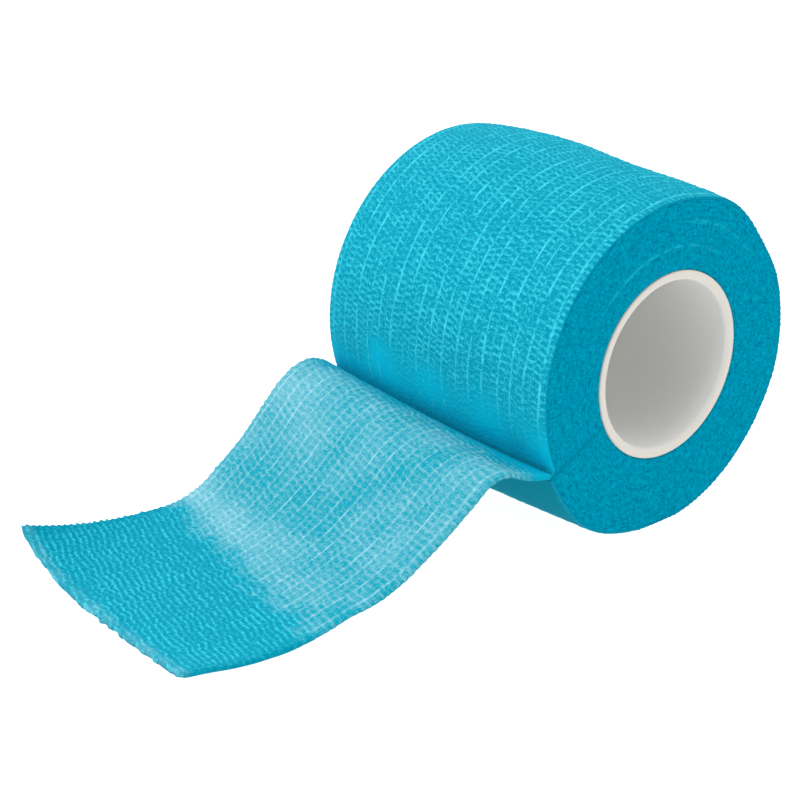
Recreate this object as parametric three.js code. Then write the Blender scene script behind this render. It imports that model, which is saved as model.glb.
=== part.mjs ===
// A cohesive bandage roll, 5 cm wide, lying on its round side with its loose end peeled open.
// Millimetres, +Z up. The roll's axis is Y and the loose end runs out along -X.
// The origin is the middle of the small flat spot on which the roll rests.

import * as THREE from "three";

// Driving dimensions
const bandageWidth = 50;
const clothThickness = 1.2;
const pieceGap = 0.3;

const roll = {
  radius: 26.8, // at the -Y edge, just above the line where the loose end peels off
  farExtra: 0.4, // how much larger it is at the +Y edge
  centreHeight: 27.35, // under the outer radius at the bottom, which leaves the flat spot
  bulgeTop: 1.5, // how much fuller the winding is at mid-width, over the top
  bulgeBottom: 0.3, // the same, where its weight presses it
  bulgeLean: 0.4, // how far the bulge leans towards the +Y edge
  slack: 0.8, // how far the outer wrap stands off the roll between the floor and the peel line
  slackFrom: 285,
  edgeRound: 0.5,
  turnSteps: 120,
  widthSteps: 10,
};

const core = {
  outerRadius: 15.5,
  wall: 1.7,
  edgeRound: 0.35,
  length: bandageWidth - 0.2,
  turnSteps: 96,
};

// The peel line runs at a slant: this far below the roll's centre, in degrees, across the width.
const peel = {
  middle: 22.3,
  slope: -3.0,
  curve: -1.2,
  ramp: 2.5, // the outer wrap thins away to the peel line over this angle
  clearance: 0.35, // between that ramp and the root of the loose end
};

const looseEnd = {
  startX: -26, // its lengths out are measured from this line along the roll
  yaw: 7.5, // it runs this many degrees off square, towards +Y
  reach: 61, // to the cut end, along its own middle line
  widthSteps: 14,
};

// How the loose end lies. out: the way along it from startX. height: its underside at mid-width.
// tilt: how much higher the +Y edge is than mid-width, with the -Y edge as much lower.
// farCurl and nearCurl: how far the +Y and -Y edges turn up beyond that.
const lieOfCloth = [
  { out: 1.5, height: 17.4, tilt: 1.8, farCurl: 0, nearCurl: 0 },
  { out: 3.5, height: 18.1, tilt: 2.05, farCurl: 0, nearCurl: 0 },
  { out: 5, height: 18.45, tilt: 2.15, farCurl: 0, nearCurl: 0 },
  { out: 7, height: 18.6, tilt: 1.7, farCurl: 0, nearCurl: 0 },
  { out: 9, height: 18.05, tilt: 1.1, farCurl: 0, nearCurl: 0 },
  { out: 11, height: 17.1, tilt: 0.2, farCurl: 0, nearCurl: 0 },
  { out: 13, height: 15.65, tilt: -0.75, farCurl: 0, nearCurl: 0 },
  { out: 15, height: 13.65, tilt: -1.05, farCurl: 0, nearCurl: 0 },
  { out: 18, height: 10.7, tilt: -1.2, farCurl: 0, nearCurl: 0 },
  { out: 22, height: 7.5, tilt: -1.1, farCurl: 0, nearCurl: 0 },
  { out: 26, height: 4.85, tilt: -1.75, farCurl: 0, nearCurl: 0 },
  { out: 31, height: 2.65, tilt: -1.45, farCurl: 0, nearCurl: 0.2 },
  { out: 36, height: 1.2, tilt: -0.9, farCurl: 0.4, nearCurl: 1.3 },
  { out: 41, height: 0.3, tilt: -0.2, farCurl: 0.5, nearCurl: 1.4 },
  { out: 48, height: 0, tilt: 0, farCurl: 1.3, nearCurl: 0.2 },
  { out: 55, height: 0, tilt: 0, farCurl: 3.1, nearCurl: 0.6 },
  { out: 61, height: 0, tilt: 0, farCurl: 5.2, nearCurl: 1.2 },
  { out: 65, height: 0, tilt: 0, farCurl: 6.2, nearCurl: 1.6 },
];
const curlPower = { far: 4.5, near: 3 }; // higher keeps the curl closer to the edge
const lengthSteps = 44;

const colours = { cloth: 0x18aecb, clothStretched: 0x4fc3d8, core: 0xecebe4 };

const halfWidth = bandageWidth / 2;
const radians = THREE.MathUtils.degToRad;

// Across the width, share runs from -1 at the -Y edge to 1 at the +Y edge.
function peelAngle(share) {
  return -(peel.middle + peel.slope * share + peel.curve * share * share);
}

// The winding's radius at the start of its last turn, with its bulge. The angle is in degrees
// from -X, going up over the top, the way in which the bandage is wound.
function rollRadius(share, angle) {
  const upward = (1 + Math.sin(radians(angle))) / 2;
  const bulge = THREE.MathUtils.lerp(roll.bulgeBottom, roll.bulgeTop, upward);
  const crown = (1 - share * share) * (1 + roll.bulgeLean * share);
  return roll.radius + (roll.farExtra * (1 + share)) / 2 + bulge * crown;
}

// How far the last turn lies above that radius: it winds up by one layer over the whole turn, and
// stands a little slack on the way up from the floor to the peel line.
function windUp(angle, start) {
  const end = start + 360 - peel.ramp;
  const climb = THREE.MathUtils.clamp((angle - roll.slackFrom) / (end - roll.slackFrom), 0, 1);
  const turn = (angle - start) / (end - start);
  return clothThickness * turn + roll.slack * Math.sin(Math.PI * climb) ** 2;
}

// A point on the roll, from its angle and its distance from the axis.
function onRoll(angle, distance) {
  const a = radians(angle);
  return { x: -distance * Math.cos(a), z: roll.centreHeight + distance * Math.sin(a) };
}

function material(colour, roughness) {
  return new THREE.MeshStandardMaterial({ color: colour, roughness, metalness: 0 });
}

function named(name, geometry, clothMaterial) {
  geometry.computeVertexNormals();
  const mesh = new THREE.Mesh(geometry, clothMaterial);
  mesh.name = name;
  return mesh;
}

// The plastic core, a plain tube with eased edges.
function makeCore() {
  const inner = core.outerRadius - core.wall;
  const end = core.length / 2;
  const round = core.edgeRound;
  const profile = [
    [inner + round, -end],
    [core.outerRadius - round, -end],
    [core.outerRadius, -end + round],
    [core.outerRadius, end - round],
    [core.outerRadius - round, end],
    [inner + round, end],
    [inner, end - round],
    [inner, -end + round],
    [inner + round, -end],
  ];
  const points = profile.map(([radius, along]) => new THREE.Vector2(radius, along));
  const tube = new THREE.LatheGeometry(points, core.turnSteps);
  tube.translate(0, 0, roll.centreHeight);
  return named("core", tube, material(colours.core, 0.35));
}

// The wound bandage: a ring whose outside follows the last turn of the winding, from the peel line
// round to the ramp that meets it from below. A lathe gives the ring and its points are then moved.
function makeWoundRoll() {
  const inner = core.outerRadius + pieceGap;
  const nominal = 27;
  const middle = (inner + nominal) / 2;
  const profile = [new THREE.Vector2(inner, -halfWidth), new THREE.Vector2(middle, -halfWidth)];
  profile.push(new THREE.Vector2(nominal - roll.edgeRound, -halfWidth));
  for (let step = 0; step <= roll.widthSteps; step++) {
    const along = THREE.MathUtils.lerp(-1, 1, step / roll.widthSteps);
    profile.push(new THREE.Vector2(nominal, along * (halfWidth - roll.edgeRound)));
  }
  profile.push(new THREE.Vector2(nominal - roll.edgeRound, halfWidth));
  profile.push(new THREE.Vector2(middle, halfWidth), new THREE.Vector2(inner, halfWidth));
  profile.push(new THREE.Vector2(inner, -halfWidth));
  const ring = new THREE.LatheGeometry(profile, roll.turnSteps);

  const place = ring.attributes.position;
  const perColumn = profile.length;
  for (let index = 0; index < place.count; index++) {
    const column = Math.floor(index / perColumn) % roll.turnSteps;
    const point = profile[index % perColumn];
    const share = point.y / halfWidth;
    const turn = column / (roll.turnSteps - 1);
    const onOutside = point.x > middle;
    const start = peelAngle(share);
    const angle = start + turn * (360 - peel.ramp);
    const outside = rollRadius(share, angle) + windUp(angle, start) - (nominal - point.x);
    const spot = onRoll(angle, onOutside ? outside : point.x);
    place.setXYZ(index, spot.x, point.y, onOutside ? Math.max(spot.z, 0) : spot.z);
  }
  return named("wound_roll", ring, material(colours.cloth, 0.9));
}

// A smooth curve through the rows of lieOfCloth.
const lieCurve = new THREE.CubicInterpolant(
  lieOfCloth.map((row) => row.out),
  lieOfCloth.flatMap((row) => [row.height, row.tilt, row.farCurl, row.nearCurl]),
  4,
);

// The height of the underside, at a length out and a share across.
function underside(out, share) {
  const [height, tilt, farCurl, nearCurl] = lieCurve.evaluate(out);
  const far = farCurl * Math.max(0, share) ** curlPower.far;
  const near = nearCurl * Math.max(0, -share) ** curlPower.near;
  return Math.max(0, height + tilt * share + far + near);
}

// A point of the loose end. Top is 0 on its underside and 1 on its upper face.
function onLooseEnd(out, share, top) {
  const yaw = radians(looseEnd.yaw);
  const probe = 0.5;
  const slope = (underside(out + probe, share) - underside(out - probe, share)) / (2 * probe);
  const lean = Math.atan(slope);
  const along = out - top * clothThickness * Math.sin(lean);
  return {
    x: looseEnd.startX - along * Math.cos(yaw),
    y: share * halfWidth + along * Math.sin(yaw),
    z: underside(out, share) + top * clothThickness * Math.cos(lean),
  };
}

// The loose end: a flat strip bent along its length. Its first row stands off the ramp of the
// outer wrap, and its last is the square cut end.
function makeLooseEnd() {
  const { widthSteps, reach, yaw } = looseEnd;
  const strip = new THREE.BoxGeometry(1, 1, 1, lengthSteps, widthSteps, 1);
  const place = strip.attributes.position;
  const firstOut = lieOfCloth[0].out;
  for (let index = 0; index < place.count; index++) {
    const station = Math.round((0.5 - place.getX(index)) * lengthSteps);
    const share = 2 * place.getY(index);
    const top = place.getZ(index) + 0.5;
    if (station === 0) {
      const angle = peelAngle(share) - peel.ramp * (1 - top) + peel.clearance;
      const lift = clothThickness * (1 - top) + peel.clearance;
      const spot = onRoll(angle, rollRadius(share, angle) + lift);
      place.setXYZ(index, spot.x, share * halfWidth, spot.z);
      continue;
    }
    const lastOut = reach - share * halfWidth * Math.sin(radians(yaw));
    const out = THREE.MathUtils.lerp(firstOut, lastOut, (station - 1) / (lengthSteps - 1));
    const spot = onLooseEnd(out, share, top);
    place.setXYZ(index, spot.x, spot.y, spot.z);
  }
  return named("loose_end", strip, material(colours.clothStretched, 0.9));
}

const bandage = new THREE.Group();
bandage.name = "cohesive_bandage_roll";
bandage.add(makeCore());
bandage.add(makeWoundRoll());
bandage.add(makeLooseEnd());

export default bandage;
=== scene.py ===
import math

import bmesh
import bpy
import numpy as np
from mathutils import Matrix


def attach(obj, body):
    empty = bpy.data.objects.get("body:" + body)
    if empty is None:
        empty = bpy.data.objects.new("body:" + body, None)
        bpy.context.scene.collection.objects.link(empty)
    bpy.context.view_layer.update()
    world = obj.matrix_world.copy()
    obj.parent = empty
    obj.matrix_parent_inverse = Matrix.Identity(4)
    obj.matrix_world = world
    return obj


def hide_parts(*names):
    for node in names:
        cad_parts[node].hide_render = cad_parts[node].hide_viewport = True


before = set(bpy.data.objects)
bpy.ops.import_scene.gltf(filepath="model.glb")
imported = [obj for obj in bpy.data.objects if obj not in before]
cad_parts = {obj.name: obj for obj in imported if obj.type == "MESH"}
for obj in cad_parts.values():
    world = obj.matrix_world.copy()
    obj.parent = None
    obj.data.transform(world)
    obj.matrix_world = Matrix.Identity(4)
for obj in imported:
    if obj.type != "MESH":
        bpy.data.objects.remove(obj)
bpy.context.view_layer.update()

mm = 0.001
print("frame loaded")

# Sizes are in millimetres and angles in degrees. Across the cloth, share runs from -1 at the -Y
# edge to 1 at the +Y edge. Round the roll, an angle of 0 is towards -X and 90 is up.
cloth = {
    "width": 50,
    "thickness": 1.2,        # with its crinkle, as it lies
    "web": 0.8,              # the nonwoven itself, without the crinkle
    "stretchedWeb": 0.66,
    "threadSpacing": 2.95,   # the elastic threads that run along it
    "threadUneven": 0.3,
    "edgeThread": 23.6,      # the outermost threads, from the middle
    "bondUneven": 0.2,       # the weaker line of bonds between two threads
    "bondStrength": 0.5,
    "wander": 0.24,          # how far a thread strays from its line
    "wanderLength": 7.0,     # over this length, and a part of it over a shorter one
    "quiver": 0.4,
    "quiverLength": 1.6,
    "wanderSeed": 19,
    "puckerPitch": 1.08,     # the crosswise ridges between the threads
    "stretchedPitch": 1.22,
    "lineHeight": 0.05,      # the lines of the net stand this far out
    "scallop": 0.3,          # how far the puckers push the edges in and out
    "scallopMean": 0.45,
    "laneColumns": 4,        # columns of faces between two lines of the net, and those at the edges
    "firstColumns": (0, 0.02, 0.08, 0.22, 0.45, 0.7),
    "lastColumns": (0, 0.3, 0.55, 0.78, 0.92, 0.98, 1),
    "seed": 41,
}
halfWidth = cloth["width"] / 2

roll = {
    "radius": 26.8,          # at the -Y edge, just above the line where the loose end peels off
    "farExtra": 0.4,         # so much more at the +Y edge
    "centreHeight": 27.35,
    "bulgeTop": 1.5,         # how far its middle stands out, on top and underneath
    "bulgeBottom": 0.3,
    "bulgeLean": 0.4,        # fuller towards the +Y edge
    "slack": 0.8,            # how loosely the last turn hangs underneath, from this angle on
    "slackFrom": 278,
    "boreRadius": 15.53,
    "relief": 0.17,          # height of the puckers
    "stagger": 0.5,          # how far they step on from lane to lane, in pitches
    "skew": -0.32,           # and how far they slant in each lane
    "scallop": 0.35,         # of the loose cloth's scallop, since the turns below hold the edge
    "scallopWidth": 1.0,
    "wrapDepth": 1.3,        # the outermost turn is a ring of its own, this deep
    "edgeRound": 0.22,
    "turnSteps": 640,
}
peel = {"middle": 22.3, "slope": -3.0, "curve": -1.2, "ramp": 2.5, "clearance": 0.35}

# Where the roll is a little out of round: the middle of the dent or swelling, how wide it is and
# how high it stands. Three are at the -Y edge and one is on top, near the middle of the width.
edgeDents = [
    {"angle": 119, "spread": 12, "height": 0.45},
    {"angle": 145, "spread": 13, "height": -0.6},
    {"angle": 195, "spread": 14, "height": 0.3},
]
crownDent = {"angle": 123, "spread": 25, "share": -0.15, "shareSpread": 0.35, "height": -0.45}

looseEnd = {
    "startX": -26,
    "yaw": 7.5,
    "reach": 61.6,
    "farCurlPower": 4.5,     # how close to the edge it turns up
    "nearCurlPower": 3,
    "relief": 0.18,
    "reliefMean": 0.35,
    "stagger": 0.3,
    "skew": 0.3,
    "stretchedRelief": 0.12,
    "edgeRound": 0.35,
    "rootEdgeRound": 0.3,    # of that, at the peel line
    "rootEndRound": 0.15,
    "lengthSteps": 300,
    "rootTurn": 2.2,         # over this length its thickness turns from the peel line to its own
    "rootSink": 0.15,
    "plainStrip": 5.0,       # its ridges grow to their full height over this length
    "slopeProbe": 0.4,
    "strayFrom": 200,        # its threads stray as if this far along the strip, for this length
    "strayLength": 65,
    "fibresFrom": 300,       # and its fibres lie as if this far along
    "scallopWidth": 1.4,
    "rag": 0.4,              # the cut end is frayed, and cut a little askew
    "askew": 0.45,
    "ragDepth": 1.5,
    "endBand": 0.35,         # how pale the pulled strip along the cut end is
    "endBandWidth": 2.4,
}

# How the loose end lies: the length out, the height of its underside at mid-width, how much higher
# the +Y edge is, and how far the +Y and -Y edges turn up beyond that.
lieOfCloth = [
    {"out": -1.5, "height": 16.2, "tilt": 1.0, "farCurl": 0, "nearCurl": 0},
    {"out": 0, "height": 16.85, "tilt": 1.55, "farCurl": 0, "nearCurl": 0},
    {"out": 1.5, "height": 17.4, "tilt": 1.8, "farCurl": 0, "nearCurl": 0},
    {"out": 3.5, "height": 18.1, "tilt": 2.05, "farCurl": 0, "nearCurl": 0},
    {"out": 5, "height": 18.45, "tilt": 2.15, "farCurl": 0.1, "nearCurl": 0.3},
    {"out": 7, "height": 18.6, "tilt": 1.7, "farCurl": 0.2, "nearCurl": 0.6},
    {"out": 9, "height": 18.05, "tilt": 1.1, "farCurl": 0.4, "nearCurl": 0.6},
    {"out": 11, "height": 17.1, "tilt": 0.2, "farCurl": 0.6, "nearCurl": -0.2},
    {"out": 13, "height": 15.65, "tilt": -0.75, "farCurl": 0.8, "nearCurl": -1.4},
    {"out": 15, "height": 13.65, "tilt": -1.05, "farCurl": 0.8, "nearCurl": -1.3},
    {"out": 18, "height": 10.7, "tilt": -1.2, "farCurl": 0.6, "nearCurl": -0.9},
    {"out": 22, "height": 7.5, "tilt": -1.1, "farCurl": 0.2, "nearCurl": -0.4},
    {"out": 26, "height": 4.85, "tilt": -1.75, "farCurl": 0.3, "nearCurl": -1.0},
    {"out": 31, "height": 2.65, "tilt": -1.45, "farCurl": 0.3, "nearCurl": -0.7},
    {"out": 36, "height": 1.2, "tilt": -0.9, "farCurl": 0.9, "nearCurl": 0.3},
    {"out": 41, "height": 0.3, "tilt": -0.2, "farCurl": 1.2, "nearCurl": 0.5},
    {"out": 48, "height": 0, "tilt": 0, "farCurl": 2.1, "nearCurl": 0},
    {"out": 55, "height": 0, "tilt": 0, "farCurl": 3.7, "nearCurl": 0.2},
    {"out": 61, "height": 0, "tilt": 0, "farCurl": 5.6, "nearCurl": 1.0},
    {"out": 65, "height": 0, "tilt": 0, "farCurl": 6.6, "nearCurl": 1.4},
]


def smoothStep(low, high, value):
    t = np.clip((value - low) / (high - low), 0, 1)
    return t * t * (3 - 2 * t)


def softNoise(a, b, seed):
    # smooth noise from -1 to 1 on a seeded lattice of step 1
    size = 97
    lattice = np.random.default_rng(seed).uniform(-1, 1, (size, size))
    a, b = np.broadcast_arrays(a, b)
    lowA, lowB = np.floor(a).astype(int), np.floor(b).astype(int)
    partA, partB = a - lowA, b - lowB
    partA, partB = partA * partA * (3 - 2 * partA), partB * partB * (3 - 2 * partB)
    rows = (lowA % size, (lowA + 1) % size)
    columns = (lowB % size, (lowB + 1) % size)
    first, other = [
        lattice[rows[0], column] * (1 - partA) + lattice[rows[1], column] * partA
        for column in columns
    ]
    return first * (1 - partB) + other * partB


def throughRows(out, name):
    # a smooth curve through one column of lieOfCloth
    xs = np.array([row["out"] for row in lieOfCloth], float)
    ys = np.array([row[name] for row in lieOfCloth], float)
    secants = np.diff(ys) / np.diff(xs)
    slopes = np.concatenate([secants[:1], (secants[1:] + secants[:-1]) / 2, secants[-1:]])
    low = np.clip(np.searchsorted(xs, out) - 1, 0, len(xs) - 2)
    span = xs[low + 1] - xs[low]
    t = (out - xs[low]) / span
    fromLow = ys[low] * (2 * t**3 - 3 * t**2 + 1) + slopes[low] * span * (t**3 - 2 * t**2 + t)
    return fromLow + ys[low + 1] * (3 * t**2 - 2 * t**3) + slopes[low + 1] * span * (t**3 - t**2)


def netAcross():
    # Where the elastic threads run, a little unevenly, with a weaker line of bonds midway between
    # each two. The cloth's edges are the first and last line, so the threads have odd numbers.
    draw = np.random.default_rng(cloth["seed"])
    count = round(2 * cloth["edgeThread"] / cloth["threadSpacing"])
    threads = np.linspace(-cloth["edgeThread"], cloth["edgeThread"], count + 1)
    threads[1:-1] += draw.uniform(-1, 1, count - 1) * cloth["threadUneven"]
    uneven = cloth["bondUneven"]
    midway = (threads[1:] + threads[:-1]) / 2 + draw.uniform(-uneven, uneven, count)
    inner = np.sort(np.concatenate([threads, midway]))
    return np.concatenate([[-halfWidth], inner, [halfWidth]])


netLines = netAcross()
lastLane = len(netLines) - 2
threadLines = range(1, lastLane + 1, 2)


def columnsAcross():
    # The columns of faces keep to the lines of the net: the lane of each, and its place in it.
    first, last = list(cloth["firstColumns"]), list(cloth["lastColumns"])
    count = cloth["laneColumns"]
    lanes, places = [0] * len(first), first
    for lane in range(1, lastLane):
        lanes += [lane] * count
        places += [step / count for step in range(count)]
    return np.array(lanes + [lastLane] * len(last)), np.array(places + last)


laneOf, placeOf = columnsAcross()
isLine = (placeOf == 0) & (laneOf > 0)
lineStrength = np.where(isLine, np.where(laneOf % 2 == 1, 1.0, cloth["bondStrength"]), 0.0)


def lineAcross(along, line):
    # the line of the net with that number, which strays a little along the cloth
    slow = softNoise(along / cloth["wanderLength"], line + 0.5, cloth["wanderSeed"])
    quick = softNoise(along / cloth["quiverLength"], line + 0.5, cloth["wanderSeed"] + 1)
    stray = cloth["wander"] * (slow + cloth["quiver"] * quick)
    inside = (line > 0) & (line <= lastLane)
    return netLines[line] + np.where(inside, stray, 0)


def columnAcross(along):
    # the place across the cloth of every column, at the lengths in a column vector
    low = lineAcross(along, laneOf[None, :])
    high = lineAcross(along, laneOf[None, :] + 1)
    return low * (1 - placeOf) + high * placeOf


# How unevenly the web is gathered. Drifts are in pitches, lengths run along the cloth.
gather = {
    "staggerUneven": 0.16,
    "slantUneven": 0.2,
    "drift": 0.34,
    "driftLength": 4.6,
    "quiver": 0.16,
    "quiverLength": 1.3,
    "height": 0.70,          # of the ridges, and how it differs from one to the next and from
    "eachHeight": 0.40,      # one patch of some lanes to another
    "patchHeight": 0.16,
    "patchLength": 5.5,
    "patchLanes": 3.0,
    "laneRound": 0.55,       # the lower, the fuller each ridge is up to the lines of the net
    "edgeRound": 0.5,
    "crest": 1.3,            # the higher, the narrower
}


def gathers(along, phase, stagger, skew, seed):
    # Between its lines the web is gathered into short crosswise ridges, skewed a little and
    # staggered from lane to lane. wave is a whole number on each ridge, strength its height.
    draw = np.random.default_rng(seed)
    uneven, slantUneven = gather["staggerUneven"], gather["slantUneven"]
    stagger = stagger * np.arange(lastLane + 1) + draw.uniform(-uneven, uneven, lastLane + 1)
    slant = skew + draw.uniform(-slantUneven, slantUneven, lastLane + 1)
    wave = phase + stagger[laneOf] + slant[laneOf] * (placeOf - 0.5)
    drift = softNoise(along / gather["driftLength"], laneOf + 0.4, seed + 1)
    quiver = softNoise(along / gather["quiverLength"], 2.0 * laneOf + placeOf, seed + 2)
    wave = wave + gather["drift"] * drift
    wave = wave + gather["quiver"] * quiver
    each = softNoise(np.floor(wave + 0.5), laneOf, seed + 3)
    patch = softNoise(along / gather["patchLength"], laneOf / gather["patchLanes"], seed + 4)
    return wave, gather["height"] + gather["eachHeight"] * each + gather["patchHeight"] * patch


def ridgeOf(wave, strength):
    # the height of the ridges, 0 to about 1, low where a line of the net holds the web down
    rise = np.sin(math.pi * placeOf) ** gather["laneRound"]
    rise = np.where(laneOf == 0, np.cos(math.pi / 2 * placeOf) ** gather["edgeRound"], rise)
    rise = np.where(laneOf == lastLane, np.sin(math.pi / 2 * placeOf) ** gather["edgeRound"], rise)
    return rise * strength * (0.5 + 0.5 * np.cos(2 * math.pi * wave)) ** gather["crest"]


# The lines of the net fade in and out over these lengths, the steadier the less.
lineFade = {
    "length": 2.6,
    "shortLength": 0.7,
    "shortPart": 0.55,
    "mean": 0.62,
    "steadyMore": 0.2,
    "swing": 0.55,
    "steadyLess": 0.25,
}


def lineShow(along, steady, seed):
    # how far the lines of the net show, 0 to 1
    there = softNoise(along / lineFade["length"], laneOf + 0.5, seed)
    short = softNoise(along / lineFade["shortLength"], laneOf, seed + 1)
    there = there + lineFade["shortPart"] * short
    mean = lineFade["mean"] + lineFade["steadyMore"] * steady
    swing = lineFade["swing"] - lineFade["steadyLess"] * steady
    return lineStrength * np.clip(mean + swing * there, 0, 1)


def peelAngle(share):
    return -(peel["middle"] + peel["slope"] * share + peel["curve"] * share**2)


def rollRadius(share, angle):
    upward = (1 + np.sin(np.radians(angle))) / 2
    bulge = roll["bulgeBottom"] + (roll["bulgeTop"] - roll["bulgeBottom"]) * upward
    crown = (1 - share**2) * (1 + roll["bulgeLean"] * share)
    atEdge = smoothStep(-0.2, -0.95, share)
    uneven = 0
    for dent in edgeDents:
        away = (angle - dent["angle"]) / dent["spread"]
        uneven = uneven + dent["height"] * np.exp(-(away**2)) * atEdge
    away = (angle - crownDent["angle"]) / crownDent["spread"]
    acrossAway = (share - crownDent["share"]) / crownDent["shareSpread"]
    uneven = uneven + crownDent["height"] * np.exp(-(away**2) - acrossAway**2)
    return roll["radius"] + roll["farExtra"] * (1 + share) / 2 + bulge * crown + uneven


def windUp(angle, start):
    # how far the outermost turn stands above where it began, with its slack underneath
    end = start + 360 - peel["ramp"]
    climb = np.clip((angle - roll["slackFrom"]) / (end - roll["slackFrom"]), 0, 1)
    turn = (angle - start) / (end - start)
    return cloth["thickness"] * turn + roll["slack"] * np.sin(math.pi * climb) ** 2


def onRoll(angle, distance, across):
    a = np.radians(angle)
    x = -distance * np.cos(a)
    z = roll["centreHeight"] + distance * np.sin(a)
    return np.stack([x, np.broadcast_to(across, x.shape), z], axis=-1)


def layGrid(bm, places, marks):
    # A grid of quads whose points go to places[row, column], each mark kept as a number there.
    rows, columns = places.shape[0] - 1, places.shape[1] - 1
    numbers = bm.verts.layers.float
    layers = {name: numbers.get(name) or numbers.new(name) for name in marks}
    made = bmesh.ops.create_grid(bm, x_segments=columns, y_segments=rows, size=1)["verts"]
    for vert in made:
        row = round((vert.co.y + 1) / 2 * rows)
        column = round((vert.co.x + 1) / 2 * columns)
        vert.co = places[row, column] * mm
        for name, layer in layers.items():
            vert[layer] = marks[name][row, column]


def layTube(bm, centres, outward, sideways, radius, sides, stretched):
    # one closed tube along centres, its round section in the outward and sideways directions
    turn = np.linspace(0, 2 * math.pi, sides + 1)[None, :, None]
    taper = np.ones((len(centres), 1, 1))
    taper[[0, -1]] = 0
    ring = radius * taper * (np.cos(turn) * sideways[:, None] + np.sin(turn) * outward[:, None])
    places = centres[:, None] + ring
    places[..., 2] = np.maximum(places[..., 2], 0)
    layGrid(bm, places, {"stretched": np.repeat(stretched[:, None], sides + 1, axis=1)})


def makePiece(bm, name, material, weld=1e-6):
    bmesh.ops.remove_doubles(bm, verts=bm.verts, dist=weld)
    bmesh.ops.dissolve_degenerate(bm, edges=bm.edges, dist=1e-7)
    bmesh.ops.recalc_face_normals(bm, faces=bm.faces)
    for face in bm.faces:
        face.smooth = True
    triangles = sum(len(face.verts) - 2 for face in bm.faces)
    openEdges = sum(edge.is_boundary for edge in bm.edges)
    mesh = bpy.data.meshes.new(name)
    bm.to_mesh(mesh)
    bm.free()
    mesh.materials.append(material)
    piece = bpy.data.objects.new(name, mesh)
    bpy.context.scene.collection.objects.link(piece)
    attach(piece, "root")
    print(name, "has", triangles, "triangles and", openEdges, "open edges")
    return piece


def colour(code):
    # sRGB hex to linear
    parts = [int(code[i:i + 2], 16) / 255 for i in (1, 3, 5)]
    return [p / 12.92 if p <= 0.04045 else ((p + 0.055) / 1.055) ** 2.4 for p in parts] + [1]


def addNode(material, kind, inputs=(), **settings):
    node = material.node_tree.nodes.new(kind)
    for name, value in settings.items():
        setattr(node, name, value)
    for socket, value in dict(inputs).items():
        if isinstance(value, bpy.types.Node):
            value = next(output for output in value.outputs if output.enabled)
        if isinstance(value, bpy.types.NodeSocket):
            material.node_tree.links.new(value, node.inputs[socket])
        else:
            node.inputs[socket].default_value = value
    return node


def newMaterial(name):
    material = bpy.data.materials.new(name)
    material.use_nodes = True
    material.node_tree.nodes.clear()
    return material


def surfaceMarks(material, names):
    # the numbers that layGrid kept on the piece, as the shader reads them
    return {
        name: addNode(material, "ShaderNodeAttribute", attribute_name=name).outputs["Fac"]
        for name in names
    }


def brushedFibres(material, texture, uv, strokes, detail, roughness):
    # adds to the texture one noise for each stroke, a bundle of fibres so long in u and in v
    u, v = uv
    for lengthU, lengthV in strokes:
        spotU = addNode(material, "ShaderNodeMath", {0: u, 1: 1 / lengthU}, operation="MULTIPLY")
        spotV = addNode(material, "ShaderNodeMath", {0: v, 1: 1 / lengthV}, operation="MULTIPLY")
        spot = addNode(material, "ShaderNodeCombineXYZ", {"X": spotU, "Y": spotV})
        bundles = addNode(material, "ShaderNodeTexNoise", {
            "Vector": spot, "Scale": 1.0, "Detail": detail, "Roughness": roughness,
        }, noise_dimensions="2D")
        texture = addNode(material, "ShaderNodeMath", {0: texture, 1: bundles}, operation="ADD")
    return texture


# Nonwoven web on elastic threads, self-clinging. Matte and fibrous with next to no shine: darker
# hollows and paler ridges, partly painted shade and light of the relief, paler threads, and
# stretching opens and whitens it.
crepe = {
    # painted shade in the crease at the peel line
    "creaseShade": "#006384",
    "edge": "#0087a4",
    # darker hollows and paler ridges: partly painted shade and light of the relief
    "hollowShade": "#0087a0",
    "ridge": "#30b8cc",
    "smooth": "#00aecd",
    "underShade": "#007c8f",      # painted shade where the turn's underside lies below the loose end's hump, pressed smooth
    "thread": "#4cc4d8",
    "drawnWeb": "#0a93a8",   # the web where it is drawn out, greener
    "pale": "#b2dae4",
    "roughness": 0.85,
    "shine": 0.03,
    "fibreMm": 0.24,         # single fibres and tufts
    "strokeMm": ((0.28, 0.8), (0.8, 0.28)),  # bundles of fibres, their lengths along and across
    "textureMean": 1.5,      # three noises, each about a half
    "ridgeFrom": -0.4,       # a ridge begins and is full at these heights of its wave
    "ridgeFull": 0.95,
    "lineReach": 0.17,       # of a lane: so near the line of the net it holds the ridge down
    "strokes": 1.2,          # how strongly the fibres show where it is relaxed,
    "speckle": 0.36,         # where it is drawn out,
    "smoothFibres": -0.8,    # where it is smooth,
    "threadFibres": 0.5,     # and on the threads
    "threadFade": 1.6,
    "paleRidge": 0.17,       # how far ridges and lines whiten where it is drawn out
    "paleLine": 0.26,
    "netHeight": 0.35,
    "bump": 0.5,
    "bumpMm": 0.15,
}


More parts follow.
